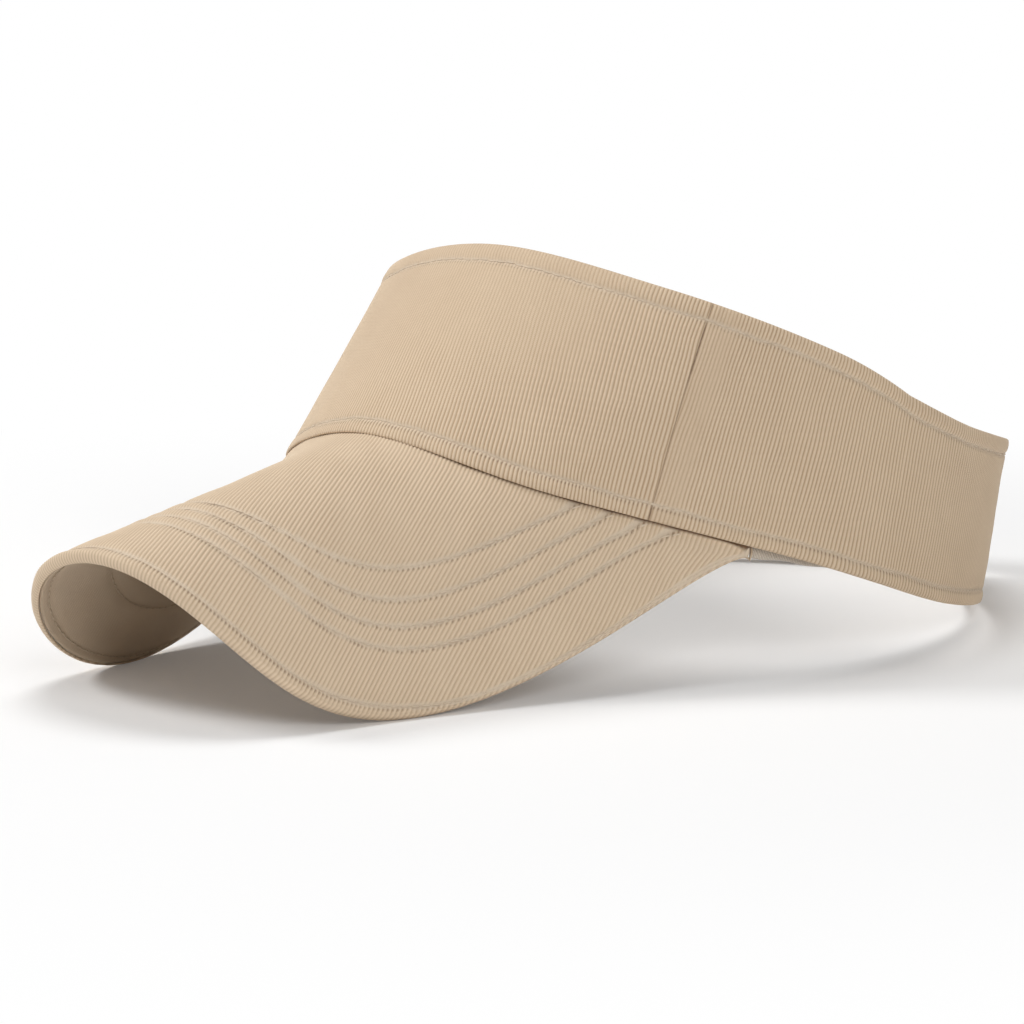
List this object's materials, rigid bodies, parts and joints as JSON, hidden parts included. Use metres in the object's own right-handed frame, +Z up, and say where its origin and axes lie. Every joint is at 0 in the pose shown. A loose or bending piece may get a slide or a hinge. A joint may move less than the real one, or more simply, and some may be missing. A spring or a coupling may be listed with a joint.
{
  "type": "sun visor",
  "caption": "Open-crown fabric sun visor with a downward-curved stitched brim, ribbed cloth band and an adjustable hook-and-loop closure at the back.",
  "frame": {"origin": "centre of the bounding box on the surface the visor rests on", "axes": "+Z up, the brim points towards -Y, the wearer's left is +X; the band tilts back by about 11 degrees as it rests on its brim wings and back edge"},
  "size_m": [0.171, 0.3081, 0.1054],
  "materials": {
    "outer_cloth": "beige cotton cloth with fine raised ribs",
    "interlining": "stiff open-weave interlining, off-white",
    "lining_cloth": "smooth beige cotton lining",
    "sweatband_cloth": "soft cotton twill sweatband",
    "seam_tape": "woven cotton tape",
    "stiffener_board": "flexible white plastic sheet",
    "under_cloth": "smooth beige cotton",
    "thread": "spun polyester sewing thread",
    "strap_webbing": "beige cotton strap",
    "loop_fabric": "brushed loop pile",
    "hook_fabric": "moulded hook tape",
    "label": "bare woven label"
  },
  "bodies": {
    "root": {"front_panel": "outer_cloth", "front_interlining": "interlining", "front_facing": "lining_cloth", "front_sweatband": "sweatband_cloth", "left_side_panel": "outer_cloth", "right_side_panel": "outer_cloth", "left_side_facing": "lining_cloth", "right_side_facing": "lining_cloth", "left_seam_tape": "seam_tape", "right_seam_tape": "seam_tape", "brim_top_cover": "outer_cloth", "brim_board": "stiffener_board", "brim_under_cover": "under_cloth", "brim_stitching": "thread", "front_band_stitching": "thread", "side_seam_stitching": "thread"},
    "left_half": {"left_rear_panel": "outer_cloth", "left_rear_facing": "lining_cloth", "left_rear_sweatband": "sweatband_cloth", "left_rear_stitching": "thread", "loop_patch": "loop_fabric", "size_label": "label"},
    "right_half": {"right_rear_panel": "outer_cloth", "right_rear_facing": "lining_cloth", "right_rear_sweatband": "sweatband_cloth", "right_rear_stitching": "thread", "strap_base": "strap_webbing", "strap_box_stitch": "thread"},
    "closure_tab": {"strap_tab": "strap_webbing", "hook_patch": "hook_fabric"}
  },
  "joints": [
    {"name": "left_half_flex", "type": "hinge", "parent": "root", "child": "left_half", "pos_m": [0.0792, 0.0727, 0.0335], "axis": [0, 0.1802, 0.9836], "range_deg": [-5, 5]},
    {"name": "right_half_flex", "type": "hinge", "parent": "root", "child": "right_half", "pos_m": [-0.0792, 0.0727, 0.0335], "axis": [0, 0.1802, 0.9836], "range_deg": [-5, 5]},
    {"name": "tab_peel", "type": "hinge", "parent": "right_half", "child": "closure_tab", "pos_m": [-0.0123, 0.148, 0.0247], "axis": [0, 0.1802, 0.9836], "range_deg": [0, 110]}
  ],
  "couplings": [
    {"joint": "right_half_flex", "follows": "left_half_flex", "ratio": -1}
  ]
}
